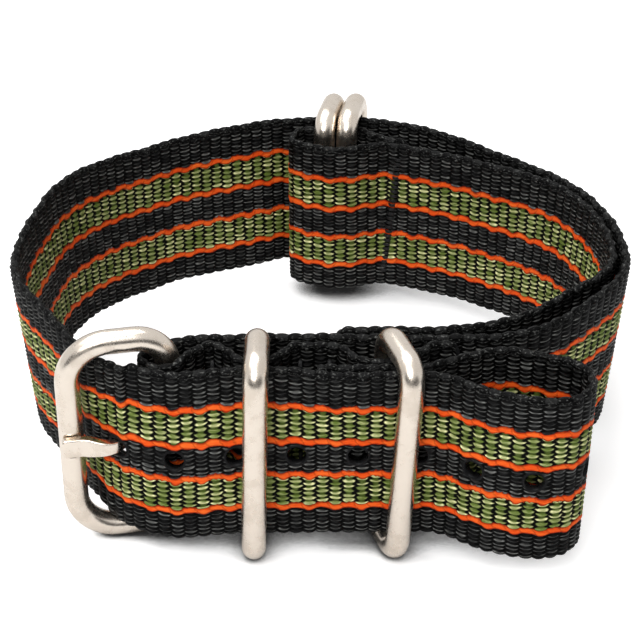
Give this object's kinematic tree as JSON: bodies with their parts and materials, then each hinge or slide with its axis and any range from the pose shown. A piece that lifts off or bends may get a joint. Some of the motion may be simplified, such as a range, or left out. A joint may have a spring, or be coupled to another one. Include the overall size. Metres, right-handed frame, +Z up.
{
  "type": "watch strap",
  "caption": "Woven pass-through watch strap with metal rings and tongue buckle, fastened into a loop and standing on its edge, tail folded and tucked back",
  "frame": {"origin": "middle of the fastened strap's box in plan, on the surface that it stands on", "axes": "+X to the right as the buckle side is looked at, +Y away from the buckle side towards the back of the loop, +Z up across the band's width"},
  "size_m": [0.0768, 0.0754, 0.0288],
  "materials": {
    "webbing": "ribbed woven nylon, black with two olive green stripes and four orange cords",
    "steel": "satin, finely brushed",
    "thread": "black sewing thread"
  },
  "bodies": {
    "strap": {"long_band": "webbing", "short_band": "webbing", "buckle_seam": "thread", "keeper_seam_left": "thread", "keeper_seam_right": "thread", "band_end_seam": "thread", "short_band_seam": "thread", "ring_loop_seam": "thread"},
    "buckle": {"buckle_frame": "steel"},
    "buckle_tongue": {"tongue": "steel"},
    "left_keeper": {"keeper_ring_left": "steel"},
    "right_keeper": {"keeper_ring_right": "steel"},
    "left_loop_ring": {"loop_ring_left": "steel"},
    "right_loop_ring": {"loop_ring_right": "steel"}
  },
  "joints": [
    {"name": "buckle_hinge", "type": "hinge", "parent": "strap", "child": "buckle", "pos_m": [-0.0176, -0.027, 0.0144], "axis": [0, 0, 1], "range_deg": [0, 3]},
    {"name": "tongue_hinge", "type": "hinge", "parent": "buckle", "child": "buckle_tongue", "pos_m": [-0.0176, -0.027, 0.0144], "axis": [0, 0, 1], "range_deg": [0, 6]},
    {"name": "left_keeper_slide", "type": "slide", "parent": "strap", "child": "left_keeper", "axis": [1, 0, 0], "range_m": [-0.0005, 0.0005]},
    {"name": "right_keeper_slide", "type": "slide", "parent": "strap", "child": "right_keeper", "axis": [1, 0, 0], "range_m": [-0.0005, 0.0005]},
    {"name": "left_loop_ring_slide", "type": "slide", "parent": "strap", "child": "left_loop_ring", "axis": [1, 0, 0], "range_m": [-0.0005, 0]},
    {"name": "right_loop_ring_slide", "type": "slide", "parent": "strap", "child": "right_loop_ring", "axis": [1, 0, 0], "range_m": [0, 0.0005]}
  ]
}
